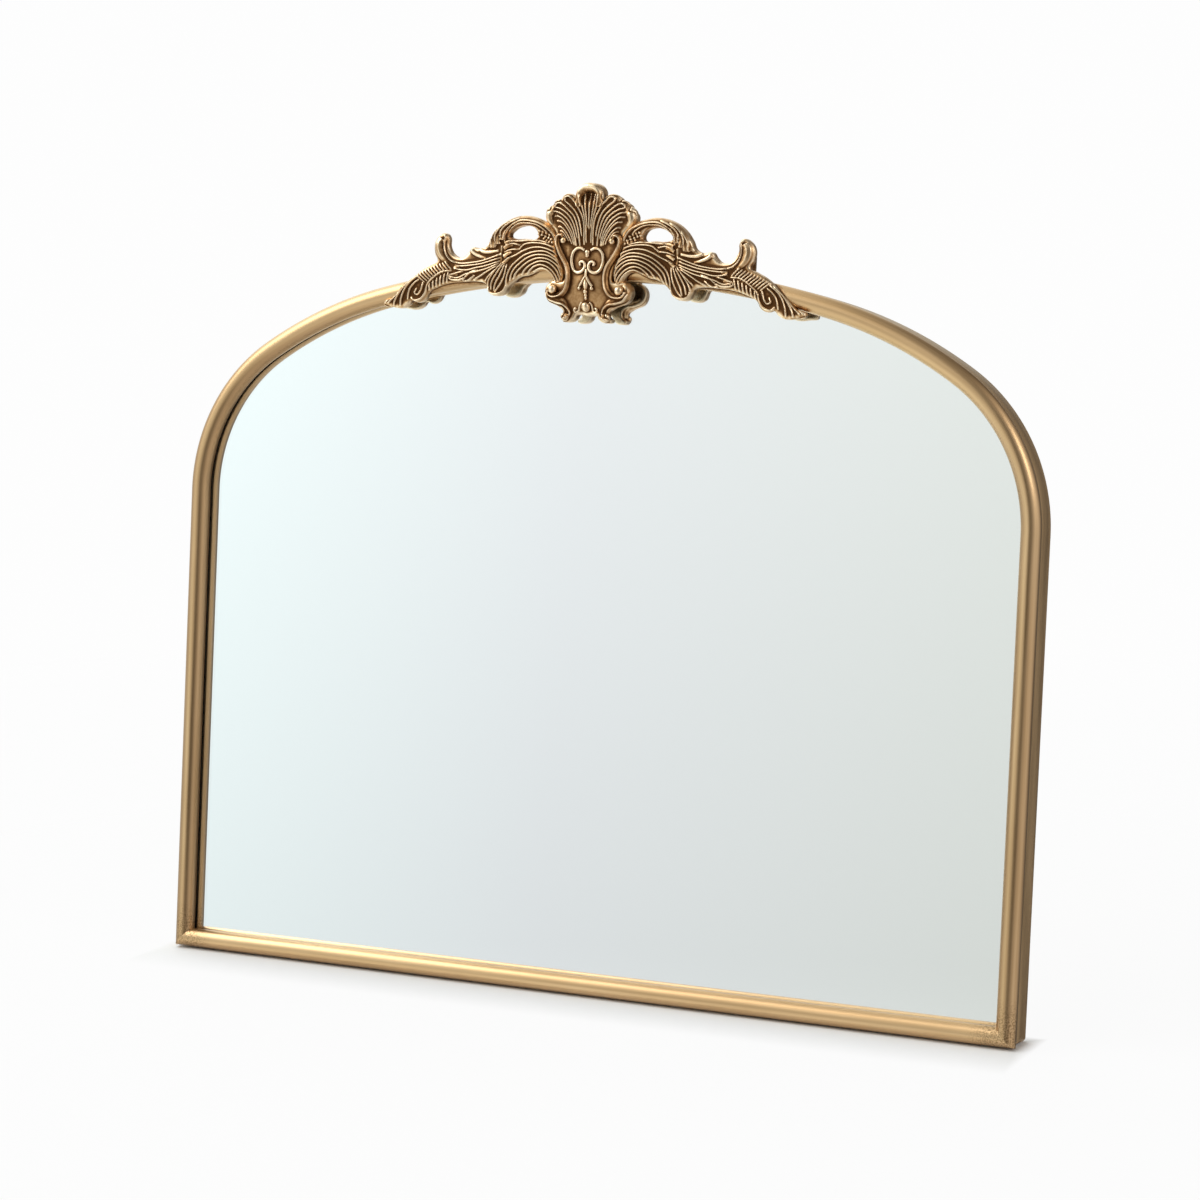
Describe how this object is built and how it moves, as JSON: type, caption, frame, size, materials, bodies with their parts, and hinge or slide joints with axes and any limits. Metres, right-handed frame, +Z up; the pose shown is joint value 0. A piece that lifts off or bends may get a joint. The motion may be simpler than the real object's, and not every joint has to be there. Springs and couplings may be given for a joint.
{
  "type": "arched wall mirror",
  "caption": "Arched wall mirror in a rounded gilt metal frame, with a cast scroll-and-shell crown on top, turn clips at the back and D-rings to hang it by.",
  "frame": {"origin": "on the wall plane behind the mirror, midway between the pivots of the two hanging rings", "axes": "+X to the viewer's right along the bottom edge, +Y back into the wall, +Z up"},
  "size_m": [0.914, 0.0561, 0.7907],
  "materials": {
    "gilt_frame": "satin antique gold, brushed along its length",
    "gilt_crown": "cast resin with antique gold leaf, rubbed on the ridges and dark in the recesses",
    "pane_glass": "clear float glass",
    "silver": "silvered back of the pane",
    "seal": "matt black foam",
    "board": "plain fibreboard",
    "zinc_steel": "zinc-plated steel"
  },
  "bodies": {
    "frame": {"bead_arch": "gilt_frame", "bead_bottom": "gilt_frame", "rim_arch": "gilt_frame", "rim_bottom": "gilt_frame", "glazing_seal": "seal", "glass_pane": "pane_glass", "silver_coat": "silver", "backing_board": "board", "clip_bosses": "gilt_frame", "clip_screws": "zinc_steel", "hanger_boss_left": "gilt_frame", "hanger_boss_right": "gilt_frame", "hanger_plate_left": "zinc_steel", "hanger_plate_right": "zinc_steel", "hanger_screws": "zinc_steel", "crown_cartouche": "gilt_crown", "crown_wing_left": "gilt_crown", "crown_wing_right": "gilt_crown", "crown_stays": "gilt_frame", "crown_screws": "zinc_steel"},
    "clip_bottom_left": {"turn_clip_1": "zinc_steel"},
    "clip_bottom_middle": {"turn_clip_2": "zinc_steel"},
    "clip_bottom_right": {"turn_clip_3": "zinc_steel"},
    "clip_right_low": {"turn_clip_4": "zinc_steel"},
    "clip_right_high": {"turn_clip_5": "zinc_steel"},
    "clip_left_low": {"turn_clip_6": "zinc_steel"},
    "clip_left_high": {"turn_clip_7": "zinc_steel"},
    "clip_haunch_right": {"turn_clip_8": "zinc_steel"},
    "clip_top": {"turn_clip_9": "zinc_steel"},
    "clip_haunch_left": {"turn_clip_10": "zinc_steel"},
    "ring_left": {"hanging_ring_left": "zinc_steel"},
    "ring_right": {"hanging_ring_right": "zinc_steel"}
  },
  "joints": [
    {"name": "clip_bottom_left_turn", "type": "hinge", "parent": "frame", "child": "clip_bottom_left", "pos_m": [-0.29248, -0.01695, -0.43215], "axis": [0, 1, 0], "range_deg": [-88, 88]},
    {"name": "clip_bottom_middle_turn", "type": "hinge", "parent": "frame", "child": "clip_bottom_middle", "pos_m": [0, -0.01695, -0.43215], "axis": [0, 1, 0], "range_deg": [-88, 88]},
    {"name": "clip_bottom_right_turn", "type": "hinge", "parent": "frame", "child": "clip_bottom_right", "pos_m": [0.29248, -0.01695, -0.43215], "axis": [0, 1, 0], "range_deg": [-88, 88]},
    {"name": "clip_right_low_turn", "type": "hinge", "parent": "frame", "child": "clip_right_low", "pos_m": [0.44915, -0.01695, -0.3452], "axis": [0, 1, 0], "range_deg": [-88, 88]},
    {"name": "clip_right_high_turn", "type": "hinge", "parent": "frame", "child": "clip_right_high", "pos_m": [0.44915, -0.01695, -0.1556], "axis": [0, 1, 0], "range_deg": [-88, 88]},
    {"name": "clip_left_low_turn", "type": "hinge", "parent": "frame", "child": "clip_left_low", "pos_m": [-0.44915, -0.01695, -0.3452], "axis": [0, 1, 0], "range_deg": [-88, 88]},
    {"name": "clip_left_high_turn", "type": "hinge", "parent": "frame", "child": "clip_left_high", "pos_m": [-0.44915, -0.01695, -0.1556], "axis": [0, 1, 0], "range_deg": [-88, 88]},
    {"name": "clip_haunch_right_turn", "type": "hinge", "parent": "frame", "child": "clip_haunch_right", "pos_m": [0.30725, -0.01695, 0.21489], "axis": [0, 1, 0], "range_deg": [-88, 88]},
    {"name": "clip_top_turn", "type": "hinge", "parent": "frame", "child": "clip_top", "pos_m": [0, -0.01695, 0.26893], "axis": [0, 1, 0], "range_deg": [-88, 88]},
    {"name": "clip_haunch_left_turn", "type": "hinge", "parent": "frame", "child": "clip_haunch_left", "pos_m": [-0.30725, -0.01695, 0.21489], "axis": [0, 1, 0], "range_deg": [-88, 88]},
    {"name": "ring_left_swing", "type": "hinge", "parent": "frame", "child": "ring_left", "pos_m": [-0.4324, -0.0137, 0], "axis": [1, 0, 0], "range_deg": [0, 180]},
    {"name": "ring_right_swing", "type": "hinge", "parent": "frame", "child": "ring_right", "pos_m": [0.4324, -0.0137, 0], "axis": [1, 0, 0], "range_deg": [0, 180]}
  ]
}
